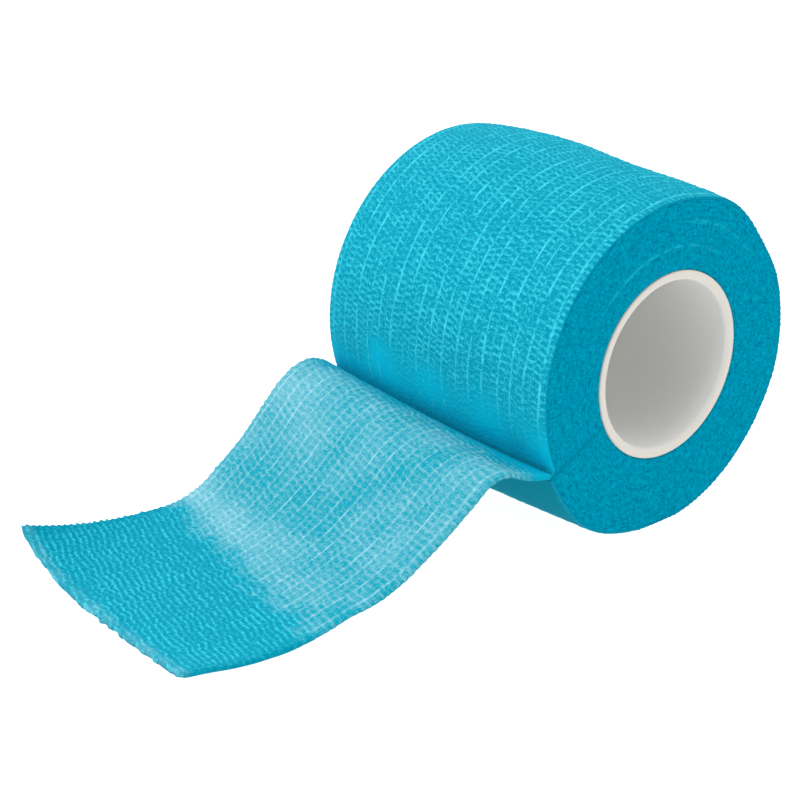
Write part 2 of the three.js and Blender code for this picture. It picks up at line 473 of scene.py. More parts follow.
def crepeCloth():
    material = newMaterial("dyedCohesiveNonwoven")
    mark = surfaceMarks(material, (
        "wave", "lane", "strength", "line", "open", "smooth", "stretched", "milky", "creaseShade", "underShade",
        "cutEdge", "along", "across",
    ))
    place = addNode(material, "ShaderNodeTexCoord").outputs["Object"]
    texture = addNode(material, "ShaderNodeTexNoise", {
        "Vector": place, "Scale": 1 / (crepe["fibreMm"] * mm), "Detail": 2.0, "Roughness": 0.6,
    })
    uv = (mark["along"], mark["across"])
    texture = brushedFibres(material, texture, uv, crepe["strokeMm"], 1.0, 0.5)
    texture = addNode(material, "ShaderNodeMath", {0: texture, 1: crepe["textureMean"]},
                      operation="SUBTRACT")
    # the ridges, which reach the lines of the net where the cloth is open
    turn = addNode(material, "ShaderNodeMath", {0: mark["wave"], 1: 2 * math.pi},
                   operation="MULTIPLY")
    ridge = addNode(material, "ShaderNodeMapRange", {
        "Value": addNode(material, "ShaderNodeMath", {0: turn}, operation="COSINE"),
        "From Min": crepe["ridgeFrom"], "From Max": crepe["ridgeFull"],
    }, interpolation_type="SMOOTHSTEP")
    fromLine = addNode(material, "ShaderNodeMath", {0: mark["lane"], 1: 0.5}, operation="PINGPONG")
    span = addNode(material, "ShaderNodeMapRange", {
        "Value": fromLine, "From Min": 0.0, "From Max": crepe["lineReach"], "To Min": mark["open"],
    }, interpolation_type="LINEAR")
    for factor in (mark["strength"], span):
        ridge = addNode(material, "ShaderNodeMath", {0: ridge, 1: factor}, operation="MULTIPLY")
    net = addNode(material, "ShaderNodeMath", {0: ridge, 1: mark["line"]}, operation="MAXIMUM")
    crest = addNode(material, "ShaderNodeMath", {0: texture, 1: crepe["strokes"], 2: net},
                    operation="MULTIPLY_ADD", use_clamp=True)
    # painted shade and light of the relief: from the hollows' dark colour to the ridges' pale one
    gathered = addNode(material, "ShaderNodeMix", {
        0: crest, 6: colour(crepe["hollowShade"]), 7: colour(crepe["ridge"]),
    }, data_type="RGBA")
    # the threads and the smooth parts, both broken up by the fibres
    threadShow = addNode(material, "ShaderNodeMath", {0: mark["line"], 1: crepe["threadFade"]},
                         operation="POWER")
    for show, fibres, at, code in (
        (threadShow, "threadFibres", "line", "thread"),
        (mark["smooth"], "smoothFibres", "smooth", "smooth"),
    ):
        show = addNode(material, "ShaderNodeMath", {0: texture, 1: crepe[fibres], 2: show},
                       operation="MULTIPLY_ADD")
        show = addNode(material, "ShaderNodeMath", {0: show, 1: mark[at]}, operation="MULTIPLY",
                       use_clamp=True)
        gathered = addNode(material, "ShaderNodeMix", {
            0: show, 6: gathered, 7: colour(crepe[code]),
        }, data_type="RGBA")
    # drawn out it is greener, with a pale net and milky patches
    pale = mark["milky"]
    for show, weight, clamp in (
        (ridge, "paleRidge", False), (mark["line"], "paleLine", False), (texture, "speckle", True),
    ):
        pale = addNode(material, "ShaderNodeMath", {0: show, 1: crepe[weight], 2: pale},
                       operation="MULTIPLY_ADD", use_clamp=clamp)
    drawn = addNode(material, "ShaderNodeMix", {
        0: pale, 6: colour(crepe["drawnWeb"]), 7: colour(crepe["pale"]),
    }, data_type="RGBA")
    base = addNode(material, "ShaderNodeMix", {0: mark["stretched"], 6: gathered, 7: drawn},
                   data_type="RGBA")
    # painted shade under the loose end's hump and in the crease at the peel line, and the cut
    # edges' own colour
    for at, code in (("underShade", "underShade"), ("cutEdge", "edge"), ("creaseShade", "creaseShade")):
        base = addNode(material, "ShaderNodeMix", {0: mark[at], 6: base, 7: colour(crepe[code])},
                       data_type="RGBA")
    height = addNode(material, "ShaderNodeMath", {0: net, 1: crepe["netHeight"], 2: texture},
                     operation="MULTIPLY_ADD")
    bump = addNode(material, "ShaderNodeBump", {
        "Height": height, "Strength": crepe["bump"], "Distance": crepe["bumpMm"] * mm,
    })
    shader = addNode(material, "ShaderNodeBsdfPrincipled", {
        "Base Color": base, "Roughness": crepe["roughness"], "Specular IOR Level": crepe["shine"],
        "Normal": bump,
    })
    addNode(material, "ShaderNodeOutputMaterial", {"Surface": shader})
    return material


# The cut edges of the turns, packed tight: deep turquoise felt, matte, with fine short fibres.
felt = {
    "deep": "#006f8b",
    "body": "#0098b6",
    "threadEnd": "#1fb2ca",
    "roughness": 0.95,
    "fibreMm": 0.42,
    "streakMm": ((1.6, 0.34), (0.34, 1.0)),  # streaks along the turns, tufts brushed across them
    "deepBelow": 1.15,       # of the three noises added together
    "fullAbove": 1.85,
    "bump": 0.6,
    "bumpMm": 0.12,
}


def packedFelt():
    material = newMaterial("packedNonwovenEdges")
    mark = surfaceMarks(material, ("around", "fromAxis", "threadEnd"))
    place = addNode(material, "ShaderNodeTexCoord").outputs["Object"]
    texture = addNode(material, "ShaderNodeTexNoise", {
        "Vector": place, "Scale": 1 / (felt["fibreMm"] * mm), "Detail": 3.0, "Roughness": 0.65,
    })
    uv = (mark["around"], mark["fromAxis"])
    texture = brushedFibres(material, texture, uv, felt["streakMm"], 2.0, 0.6)
    tone = addNode(material, "ShaderNodeMapRange", {
        "Value": texture, "From Min": felt["deepBelow"], "From Max": felt["fullAbove"],
    })
    base = addNode(material, "ShaderNodeMix", {
        0: tone, 6: colour(felt["deep"]), 7: colour(felt["body"]),
    }, data_type="RGBA")
    base = addNode(material, "ShaderNodeMix", {
        0: mark["threadEnd"], 6: base, 7: colour(felt["threadEnd"]),
    }, data_type="RGBA")
    bump = addNode(material, "ShaderNodeBump", {
        "Height": texture, "Strength": felt["bump"], "Distance": felt["bumpMm"] * mm,
    })
    shader = addNode(material, "ShaderNodeBsdfPrincipled", {
        "Base Color": base, "Roughness": felt["roughness"], "Specular IOR Level": 0.0,
        "Normal": bump,
    })
    addNode(material, "ShaderNodeOutputMaterial", {"Surface": shader})
    return material


# Covered elastane threads, tinted by the dye and matte, whiter where they are drawn out.
elastic = {
    "tinted": "#37b8cc",
    "drawnOut": "#93cddb",
    "roughness": 0.8,
    "shine": 0.03,
    "radius": 0.1,
    "sides": 5,
    "rollSteps": 520,
    "looseSteps": 190,
    "rollDepth": 0.11,       # below the puckered surface
    "looseDepth": 0.12,
    "hidden": 0.25,          # deeper by this where the cloth closes over them
}

# How the threads come up to the surface and sink again, on the roll and in the loose end.
rollSinks = [
    {"height": 0.08, "length": 1.0, "offset": 0.5, "seed": 78},
    {"height": 0.10, "length": 5.0, "offset": 0.2, "seed": 79},
]
looseSinks = [
    {"height": 0.07, "length": 1.0, "offset": 0.5, "seed": 87},
    {"height": 0.07, "length": 4.5, "offset": 0.2, "seed": 88},
]


def threadRise(along, line, sinks):
    rise = 0
    for sink in sinks:
        lane = np.full(len(along), line + sink["offset"])
        rise = rise + sink["height"] * softNoise(along / sink["length"], lane, sink["seed"])
    return rise


def elasticThread():
    material = newMaterial("coveredElastaneThread")
    stretched = surfaceMarks(material, ("stretched",))["stretched"]
    base = addNode(material, "ShaderNodeMix", {
        0: stretched, 6: colour(elastic["tinted"]), 7: colour(elastic["drawnOut"]),
    }, data_type="RGBA")
    shader = addNode(material, "ShaderNodeBsdfPrincipled", {
        "Base Color": base, "Roughness": elastic["roughness"],
        "Specular IOR Level": elastic["shine"],
    })
    addNode(material, "ShaderNodeOutputMaterial", {"Surface": shader})
    return material


# Injection-moulded polystyrene, white with a satin face.
core = {
    "outerRadius": 15.5,
    "wall": 1.7,
    "length": 49.8,
    "offCentre": (0.55, -0.2),  # in X and Z: the turns are wound a little unevenly round it
    "innerRound": 0.8,       # its mouth is well rounded
    "outerRound": 0.3,
    "roundSteps": 6,
    "turnSteps": 144,
    "white": "#cac6be",
    "borePaintedTone": "#d4d4d2",  # greyer inside, a painted light-and-shade tone for the bore, apart from the rim's white
    "whiteFrom": 0.02,       # from the bore's wall outwards
    "whiteFull": 0.5,
    "roughness": 0.45,
    "shine": 0.3,
}


def coreAxis():
    x, z = core["offCentre"]
    return (x * mm, 0, (roll["centreHeight"] + z) * mm)


def mouldedCore():
    material = newMaterial("mouldedWhitePolystyrene")
    place = addNode(material, "ShaderNodeTexCoord").outputs["Object"]
    fromAxis = addNode(material, "ShaderNodeVectorMath", {0: place, 1: coreAxis()},
                       operation="SUBTRACT")
    flat = addNode(material, "ShaderNodeVectorMath", {0: fromAxis, 1: (1, 0, 1)},
                   operation="MULTIPLY")
    distance = addNode(material, "ShaderNodeVectorMath", {0: flat}, operation="LENGTH")
    inner = core["outerRadius"] - core["wall"]
    rim = addNode(material, "ShaderNodeMapRange", {
        "Value": distance.outputs["Value"],
        "From Min": (inner + core["whiteFrom"]) * mm, "From Max": (inner + core["whiteFull"]) * mm,
    })
    # painted light and shade: the bore gets its own tone, and the rim and outside get the other
    base = addNode(material, "ShaderNodeMix", {
        0: rim, 6: colour(core["borePaintedTone"]), 7: colour(core["white"]),
    }, data_type="RGBA")
    shader = addNode(material, "ShaderNodeBsdfPrincipled", {
        "Base Color": base, "Roughness": core["roughness"], "Specular IOR Level": core["shine"],
    })
    addNode(material, "ShaderNodeOutputMaterial", {"Surface": shader})
    return material


# The face of the outermost turn. Angles are measured on from the peel line.
outerTurn = {
    "calmLeft": 0.22,        # of the relief, where the next turn has just been pulled off
    "calmFrom": 3,
    "calmTo": 34,
    "calmRagged": 9,         # in patches of this length and width
    "patchLength": 9,
    "patchWidth": 6,
    "patchSeed": 5,
    "underFrom": 322,        # drawn smooth, and darkened with painted shade, on the underside just before the loose end leaves it
    "underTo": 336,
    "underFlat": 0.85,
    "selvageFrom": 23.8,     # the relief flattens at the edges
    "selvageTo": 24.7,
    "selvageFlat": 0.7,
    "paleFrom": 22.6,        # and the ridges are paler there
    "paleTo": 24.5,
    "selvagePale": 0.2,
    "cutFrom": 24.86,        # beyond this the cut edge begins
    "ridgeTone": 0.7,        # how strongly the ridges are painted paler, partly painted light on the relief, and the least of it
    "leastTone": 0.04,
    "calmLines": 0.35,       # of the threads still show where the face is calm
    "open": 0.62,
    "smoothTone": 1.25,
    # how strong the painted shade under the loose end's hump is
    "underShadeTone": 0.95,
    "creaseShade": 0.6,              # how dark the painted shade in the crease at the peel line is
    "creaseShadeFrom": 0.05,
    "creaseShadeTo": 0.5,
}


def makeOuterTurn(material):
    # The outermost turn is a closed ring: its puckered face, rounded edges and a plain inside.
    steps = roll["turnSteps"]
    turn = (np.arange(steps + 1) % steps)[:, None] / (steps - 1)
    length = turn * 2 * math.pi * roll["radius"]
    across = columnAcross(length)
    fromMiddle = np.abs(across)
    share = across / halfWidth
    start = peelAngle(share)
    angle = start + turn * (360 - peel["ramp"])
    outer = rollRadius(share, angle) + windUp(angle, start)
    along = np.radians(angle + peel["middle"]) * outer
    phase = along / cloth["puckerPitch"]
    wave, strength = gathers(along, phase, roll["stagger"], roll["skew"], cloth["seed"] + 10)
    ridge = ridgeOf(wave, strength)
    shown = lineShow(along, 0, cloth["seed"] + 30)
    patches = softNoise(along / outerTurn["patchLength"], across / outerTurn["patchWidth"],
                        outerTurn["patchSeed"])
    ragged = angle - start + outerTurn["calmRagged"] * patches
    raised = smoothStep(outerTurn["calmFrom"], outerTurn["calmTo"], ragged)
    calm = outerTurn["calmLeft"] + (1 - outerTurn["calmLeft"]) * raised
    below = smoothStep(outerTurn["underFrom"], outerTurn["underTo"], angle - start)
    calm = calm * (1 - outerTurn["underFlat"] * below)
    selvage = smoothStep(outerTurn["selvageFrom"], outerTurn["selvageTo"], fromMiddle)
    flatEdge = 1 - outerTurn["selvageFlat"] * selvage
    outward = roll["relief"] * (ridge * calm * flatEdge - 0.5)
    outward = outward + cloth["lineHeight"] * shown * flatEdge
    fromEdge = (halfWidth - fromMiddle) / roll["edgeRound"]
    rounding = roll["edgeRound"] * (1 - np.sqrt(1 - np.clip(1 - fromEdge, 0, 1) ** 2))
    scallop = roll["scallop"] * cloth["scallop"] * (ridge - cloth["scallopMean"])
    scallop = scallop * smoothStep(halfWidth - roll["scallopWidth"], halfWidth, fromMiddle)
    face = onRoll(angle, outer + outward - rounding, 0)
    face[..., 1] = across + scallop * np.sign(across)
    # in at the +Y edge, across underneath and out at the -Y edge: column, depth, place across
    course = ((-1, 0.3, 0.999), (-1, 1, 0.97), (0, 1, 0.97), (0, 0.3, 0.999))
    inside = [
        onRoll(angle[:, [c]], outer[:, [c]] - roll["wrapDepth"] * depth, across[:, [c]] * tuck)
        for c, depth, tuck in course
    ]
    places = np.concatenate([face] + inside + [face[:, :1]], axis=1)
    places[..., 2] = np.maximum(places[..., 2], 0)
    atSelvage = smoothStep(outerTurn["paleFrom"], outerTurn["paleTo"], fromMiddle)
    paler = 1 + outerTurn["selvagePale"] * atSelvage
    tone = outerTurn["ridgeTone"] * strength * paler * calm
    lines = outerTurn["calmLines"] + (1 - outerTurn["calmLines"]) * calm
    # painted shade: the colour darkens in the crease at the peel line
    fromPeel = np.radians(angle - start) * outer
    creaseShade = outerTurn["creaseShade"] * (1 - smoothStep(outerTurn["creaseShadeFrom"], outerTurn["creaseShadeTo"], fromPeel))
    marks = {
        "wave": wave,
        "lane": laneOf + placeOf + 0 * wave,
        "strength": tone + outerTurn["leastTone"],
        "line": shown * lines * (1 - below),
        "open": outerTurn["open"] + 0 * wave,
        "smooth": np.clip(outerTurn["smoothTone"] * (1 - calm), 0, 1) * (1 - below),
        "stretched": 0 * wave,
        "milky": 0 * wave,
        "creaseShade": creaseShade * smoothStep(-1.0, -0.9, share),
        # painted shade on the underside, below the loose end's hump
        "underShade": outerTurn["underShadeTone"] * below * smoothStep(-0.997, -0.97, share),
        "cutEdge": smoothStep(outerTurn["cutFrom"], halfWidth, fromMiddle),
        "along": along,
        "across": across,
    }
    # the inside of the ring is plain
    plain = len(course) + 1
    marks = {name: np.pad(value, ((0, 0), (0, plain))) for name, value in marks.items()}
    marks["cutEdge"][:, -plain:] = 1
    bm = bmesh.new()
    layGrid(bm, places, marks)
    piece = makePiece(bm, "outerTurn", material)
    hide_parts("wound_roll")


# The turns inside the outermost one, as their packed edges show them on both ends.
packed = {
    "pitch": 0.72,           # one turn, wound under tension
    "outerPitch": 1.1,
    "outerDepth": 1.5,       # the turns down to about here are wound less tightly
    "bead": 0.13,            # each turn's edge stands this high
    "beadEven": 0.65,
    "felt": 0.08,            # the tufts of fibres on it
    "tuftsRound": 40,        # in each radian
    "tuftWidth": 0.45,
    "lay": 0.06,             # and how uneven the whole face is
    "faceHeight": 24.92,
    "edgeDrop": 0.25,        # its inner and outer edge lie lower by this
    "tuck": 0.3,             # how far it goes in under the outermost turn
    "patternRadius": 21,     # the streaks keep their length at this radius
    "turnSteps": 500,
    "faceSteps": 46,
    "seed": 31,
}


# Edge threads of a few turns show on the end faces as broken, blurred lighter arcs.
edgeArcs = [
    {"side": -1, "radius": 19.2, "from": 25, "to": 135, "seed": 3},
    {"side": -1, "radius": 23.2, "from": 95, "to": 150, "seed": 4},
    {"side": 1, "radius": 20.1, "from": 60, "to": 230, "seed": 7},
    {"side": 1, "radius": 23.9, "from": -20, "to": 120, "seed": 8},
]
arcLook = {"strength": 0.7, "blur": 0.2, "outwards": 0.3, "dashLength": 0.9, "fadeOver": 0.25}


def threadEnds(side, angle, radius):
    shown = 0 * radius + 0 * angle
    for arc in edgeArcs:
        if arc["side"] == side:
            progress = (angle - arc["from"]) / (arc["to"] - arc["from"])
            offLine = radius - arc["radius"] - arcLook["outwards"] * progress
            along = np.radians(angle) * arc["radius"]
            dashes = softNoise(along / arcLook["dashLength"], 0.5, arc["seed"])
            broken = np.clip(0.35 + 0.9 * dashes, 0, 1)
            fade = smoothStep(0, arcLook["fadeOver"], progress)
            fade = fade * smoothStep(1, 1 - arcLook["fadeOver"], progress)
            blurred = np.exp(-((offLine / arcLook["blur"]) ** 2))
            shown = np.maximum(shown, blurred * broken * fade)
    return arcLook["strength"] * shown


def packedFace(side, turn, spread):
    # the points and marks of one end face, at spread 0 at the bore to 1 under the outermost turn
    seed = packed["seed"]
    start = peelAngle(side)
    angle = start + turn * (360 - peel["ramp"])
    outermost = rollRadius(side, angle) + windUp(angle, start) - packed["tuck"]
    a = np.radians(angle)
    x, z = core["offCentre"]
    bore = roll["boreRadius"] - x * np.cos(a) + z * np.sin(a)
    radius = bore + (outermost - bore) * spread
    inward = outermost - radius
    looser = (packed["outerPitch"] - packed["pitch"]) * packed["outerDepth"]
    extra = looser * (1 - np.exp(-inward / packed["outerDepth"]))
    turns = (inward - extra) / packed["pitch"]
    around = a * packed["tuftsRound"]
    tufts = softNoise(around, turns * 0.7, seed + side)
    tufts = tufts + 0.6 * softNoise(around, radius / packed["tuftWidth"], seed + 4 + side)
    lay = softNoise(a * 2.2, radius / 2.4, seed + 10 + side)
    varied = softNoise(a * radius / 6, np.floor(turns), seed + 12)
    varied = packed["beadEven"] + (1 - packed["beadEven"]) * varied
    bead = (0.5 + 0.5 * np.cos(2 * math.pi * turns)) * varied
    height = packed["faceHeight"] + packed["bead"] * bead
    height = height + packed["felt"] * tufts + packed["lay"] * lay
    ends = smoothStep(0, 0.04, spread) * smoothStep(1, 0.97, spread)
    places = onRoll(angle + 0 * spread, radius, 0)
    dropped = packed["faceHeight"] - packed["edgeDrop"]
    places[..., 1] = side * (height * ends + dropped * (1 - ends))
    return places, {
        "around": packed["patternRadius"] * a + 0 * radius,
        "fromAxis": radius,
        "threadEnd": threadEnds(side, angle, radius),
    }


def makePackedTurns(material):
    steps = packed["turnSteps"]
    turn = (np.arange(steps + 1) % steps)[:, None] / (steps - 1)
    spread = np.linspace(0, 1, packed["faceSteps"] + 1)[None, :]
    near, nearMarks = packedFace(-1, turn, spread)
    far, farMarks = packedFace(1, turn, spread)
    places = np.concatenate([near, far[:, ::-1], near[:, :1]], axis=1)
    places[..., 2] = np.maximum(places[..., 2], 0.2)
    marks = {
        name: np.concatenate([value, farMarks[name][:, ::-1], value[:, :1]], axis=1)
        for name, value in nearMarks.items()
    }
    bm = bmesh.new()
    layGrid(bm, places, marks)
    piece = makePiece(bm, "packedTurns", material)
    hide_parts("wound_roll")


def makeRollThreads(material):
    bm = bmesh.new()
    steps = elastic["rollSteps"]
    for line in threadLines:
        length = np.linspace(0, 2 * math.pi * roll["radius"], steps)
        across = lineAcross(length, np.full(steps, line))
        share = across / halfWidth
        start = peelAngle(share)
        angle = start + np.linspace(0.004, 0.996, steps) * (360 - peel["ramp"])
        outer = rollRadius(share, angle) + windUp(angle, start)
        rise = threadRise(length, line, rollSinks)
        rise = rise - elastic["hidden"] * smoothStep(outerTurn["underFrom"], 330, angle - start)
        depth = 0.5 * roll["relief"] + elastic["rollDepth"]
        centres = onRoll(angle, outer - depth + rise, across)
        a = np.radians(angle)
        outward = np.stack([-np.cos(a), np.zeros_like(a), np.sin(a)], axis=-1)
        sideways = np.broadcast_to([0.0, 1.0, 0.0], outward.shape)
        layTube(bm, centres, outward, sideways, elastic["radius"], elastic["sides"],
                0.05 + 0 * angle)
    piece = makePiece(bm, "rollThreads", material, weld=1e-7)


def undersideHeight(out, share):
    far = throughRows(out, "farCurl") * np.maximum(0, share) ** looseEnd["farCurlPower"]
    near = throughRows(out, "nearCurl") * np.maximum(0, -share) ** looseEnd["nearCurlPower"]
    level = throughRows(out, "height") + throughRows(out, "tilt") * share
    return np.maximum(0, level + far + near)


def looseRoot(share, top):
    # where the cloth leaves the roll, at the top or the bottom of its thickness
    angle = peelAngle(share) - peel["ramp"] * (1 - top) + peel["clearance"]
    lift = cloth["thickness"] * (1 - top) + peel["clearance"] - looseEnd["rootSink"]
    return onRoll(angle, rollRadius(share, angle) + lift, share * halfWidth)


def looseMiddle(share, progress):
    # The middle of the cloth's thickness, the direction through it and the length out, at a share
    # across and a progress from 0 at the peel line to 1 at the cut end.
    yaw = math.radians(looseEnd["yaw"])
    topRoot, lowRoot = looseRoot(share, 1), looseRoot(share, 0)
    rootMiddle = (topRoot + lowRoot) / 2
    rootThrough = topRoot - lowRoot
    rootThrough = rootThrough / np.linalg.norm(rootThrough, axis=-1, keepdims=True)
    firstOut = (looseEnd["startX"] - rootMiddle[..., 0]) / math.cos(yaw)
    lastOut = looseEnd["reach"] - share * halfWidth * math.sin(yaw)
    out = firstOut + (lastOut - firstOut) * progress
    probe = looseEnd["slopeProbe"]
    rise = undersideHeight(out + probe, share) - undersideHeight(out - probe, share)
    lean = np.arctan(rise / (2 * probe))
    through = np.stack([
        np.sin(lean) * math.cos(yaw),
        -np.sin(lean) * math.sin(yaw),
        np.cos(lean),
    ], axis=-1)
    underside = np.stack([
        looseEnd["startX"] - out * math.cos(yaw),
        share * halfWidth + out * math.sin(yaw),
        undersideHeight(out, share),
    ], axis=-1)
    middle = underside + cloth["thickness"] / 2 * through
    own = smoothStep(0, looseEnd["rootTurn"], out - firstOut)[..., None]
    middle = rootMiddle * (1 - own) + middle * own
    through = rootThrough * (1 - own) + through * own
    through = through / np.linalg.norm(through, axis=-1, keepdims=True)
    return middle, through, out


# Where the loose end is still drawn out, by the length out: from just off the peel line to a
# ragged, slanted boundary. Beyond it the last third is relaxed.
drawnPart = {
    "boundary": 36.5,
    "slant": -5.5,           # further out at the -Y edge
    "ragged": 1.6,
    "raggedLength": 3.2,
    "frayed": 1.9,
    "frayedLength": 0.8,
    "fadeBefore": -2.2,
    "fadeAfter": 2.6,
    "beginFrom": 2.0,
    "beginFull": 6.0,
    "beginSlant": 0.6,
}

# How milky it is: everywhere, in the band before the boundary, on the far side of the hump, along
# its two edges and in a few patches.
milk = {
    "all": 0.04,
    "band": 0.25,
    "bandBefore": 4.2,
    "bandSpread": 3.6,
    "hump": 0.12,
    "humpOut": 10.5,
    "humpSpread": 6.5,
    "farEdge": 0.06,
    "nearEdge": 0.08,
    "patches": 0.08,
    "patchLength": 3.6,
}


def drawnBoundary(share):
    return drawnPart["boundary"] + drawnPart["slant"] * share


def stretchedPart(out, share):
    # 1 where the cloth is drawn out, 0 where it is relaxed
    ragged = drawnPart["ragged"] * softNoise(out / drawnPart["raggedLength"], share * 7, 51)
    frayed = drawnPart["frayed"] * softNoise(out / drawnPart["frayedLength"], share * 21, 52)
    ragged = ragged + frayed
    boundary = drawnBoundary(share) + ragged
    slant = drawnPart["beginSlant"]
    beginAt = out - slant * share + slant * ragged
    begin = smoothStep(drawnPart["beginFrom"], drawnPart["beginFull"], beginAt)
    return begin * (1 - smoothStep(drawnPart["fadeBefore"], drawnPart["fadeAfter"], out - boundary))


def milkiness(out, share):
    patches = softNoise(out / milk["patchLength"], share * 5.5, 61)
    pastBand = out - drawnBoundary(share) + milk["bandBefore"]
    band = np.exp(-((pastBand / milk["bandSpread"]) ** 2)) * (0.4 + 0.6 * share)
    hump = np.exp(-(((out - milk["humpOut"]) / milk["humpSpread"]) ** 2))
    hump = hump * smoothStep(-0.2, 0.9, share)
    farEdge = smoothStep(0.7, 1.0, share) * smoothStep(4, 12, out)
    nearEdge = smoothStep(-0.3, -0.9, share) * smoothStep(9, 15, out) * smoothStep(30, 24, out)
    milky = milk["all"] + milk["band"] * band + milk["hump"] * hump
    milky = milky + milk["farEdge"] * farEdge + milk["nearEdge"] * nearEdge
    return milky + milk["patches"] * patches


# The tones of the loose end: how strongly its ridges are painted paler where it is relaxed, partly
# painted light on the relief, how far they reach the lines of the net, where it is smooth beside
# the roll, and its edges.
looseTone = {
    "relaxedRidge": 0.8,
    "relaxedLeast": 0.08,
    "open": 0.4,
    "smooth": 0.8,
    "smoothFrom": 2.0,
    "smoothTo": 6.0,
    "creaseShade": 0.5,              # how dark the painted shade in the crease at the peel line is
    "creaseShadeFrom": 0.1,
    "creaseShadeTo": 0.45,
    "selvageFrom": 23.4,     # the selvage lies smooth and a little darker in the relaxed part
    "selvageTo": 24.2,
    "selvageFlat": 0.75,
    "cutEdge": 0.4,
    "cutFrom": 24.8,
}


def blend(relaxed, drawnOut, stretched):
    return relaxed * (1 - stretched) + drawnOut * stretched


def makeLooseCloth(material):
    progress = np.linspace(0, 1, looseEnd["lengthSteps"] + 1)[:, None]
    share = columnAcross(progress * looseEnd["strayLength"] + looseEnd["strayFrom"]) / halfWidth
    fromMiddle = np.abs(share) * halfWidth
    middle, through, out = looseMiddle(share, progress)
    stretched = stretchedPart(out, share)
    pitch = blend(cloth["puckerPitch"], cloth["stretchedPitch"], stretched)
    step = np.linalg.norm(np.diff(middle, axis=0), axis=-1)
    begin = np.zeros((1, share.shape[1]))
    along = np.concatenate([begin, np.cumsum(step, axis=0)])
    fromCut = along - along[-1:]
    phase = np.cumsum(step / ((pitch[1:] + pitch[:-1]) / 2), axis=0)
    phase = np.concatenate([begin, phase])
    seed = cloth["seed"] + 20
    wave, strength = gathers(along, phase, looseEnd["stagger"], looseEnd["skew"], seed)
    strength = strength * smoothStep(1.2, looseEnd["plainStrip"], along)
    ridge = ridgeOf(wave, strength)
    shown = lineShow(along, 1, cloth["seed"] + 50)
    free = smoothStep(0.5, 3, along)
    relief = blend(looseEnd["relief"], looseEnd["stretchedRelief"], stretched)
    lift = relief * free * (ridge - looseEnd["reliefMean"])
    lift = lift + cloth["lineHeight"] * shown * stretched
    # full up to its corners at the peel line, where it is still one with the roll's edge
    rootShare = looseEnd["rootEdgeRound"]
    sideRound = looseEnd["edgeRound"] * (rootShare + (1 - rootShare) * smoothStep(0, 5, along))
    fromSide = (halfWidth - fromMiddle) / sideRound
    fromEnd = np.minimum(along / looseEnd["rootEndRound"], -fromCut / looseEnd["edgeRound"])
    swell = np.sqrt(1 - np.clip(1 - fromSide, 0, 1) ** 2)
    swell = swell * np.sqrt(1 - np.clip(1 - fromEnd, 0, 1) ** 2)
    web = blend(cloth["web"], cloth["stretchedWeb"], stretched)
    # its edges thin out towards the table, but upwards where the far one turns up
    turnedUp = smoothStep(0.2, 0.9, share) * smoothStep(14, 40, out)
    lift = lift + (2 * turnedUp - 1) * (1 - swell) * web / 2 * free
    atEdge = smoothStep(halfWidth - looseEnd["scallopWidth"], halfWidth, fromMiddle)
    atEdge = atEdge * np.sign(share)
    scallop = cloth["scallop"] * (ridge - cloth["scallopMean"]) * atEdge
    rag = looseEnd["rag"] * softNoise(share * 22, 0.5, 71)
    rag = rag + looseEnd["askew"] * np.clip(share + 0.1, -0.8, 0.6)
    rag = rag * smoothStep(-looseEnd["ragDepth"], 0, fromCut)
    endBand = looseEnd["endBand"] * smoothStep(-looseEnd["endBandWidth"], -1.0, fromCut)
    endBand = endBand * (0.6 + 0.4 * softNoise(share * 12, 0.5, 73))
    selvage = smoothStep(looseTone["selvageFrom"], looseTone["selvageTo"], fromMiddle)
    selvage = selvage * (1 - stretched) * smoothStep(20, 30, out)
    least = looseTone["relaxedRidge"]
    strength = strength * (1 - looseTone["selvageFlat"] * selvage)
    strength = strength * (least + (1 - least) * stretched)
    settled = smoothStep(looseTone["smoothFrom"], looseTone["smoothTo"], along)
    # painted shade: the colour darkens in the crease at the peel line, on the top side only
    creaseShade = looseTone["creaseShade"] * (1 - smoothStep(looseTone["creaseShadeFrom"], looseTone["creaseShadeTo"], along))
    cutEdge = looseTone["cutEdge"] * smoothStep(looseTone["cutFrom"], halfWidth, fromMiddle)
    marks = {
        "wave": wave,
        "lane": laneOf + placeOf + 0 * wave,
        "strength": strength + looseTone["relaxedLeast"] * (1 - stretched),
        "line": shown * stretched + 0 * wave,
        "open": looseTone["open"] + (1 - looseTone["open"]) * stretched,
        "smooth": looseTone["smooth"] * (1 - settled),
        "stretched": np.maximum(stretched, endBand),
        "milky": milkiness(out, share) + endBand,
        "creaseShade": creaseShade * smoothStep(-1.0, -0.9, share),
        "underShade": 0 * along,
        "cutEdge": cutEdge * (1 - stretched) + 0 * along,
        "along": along + looseEnd["fibresFrom"],
        "across": share * halfWidth + 0 * along,
    }
    bm = bmesh.new()
    for side in (1, -1):
        if side == -1:
            marks["creaseShade"] = 0 * marks["creaseShade"]
        places = middle + through * (side * web / 2 * swell + lift)[..., None]
        places[..., 1] += scallop
        places[..., 0] -= rag
        places[..., 2] = np.maximum(places[..., 2], 0)
        layGrid(bm, places, marks)
    piece = makePiece(bm, "looseCloth", material)
    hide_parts("loose_end")
    return piece


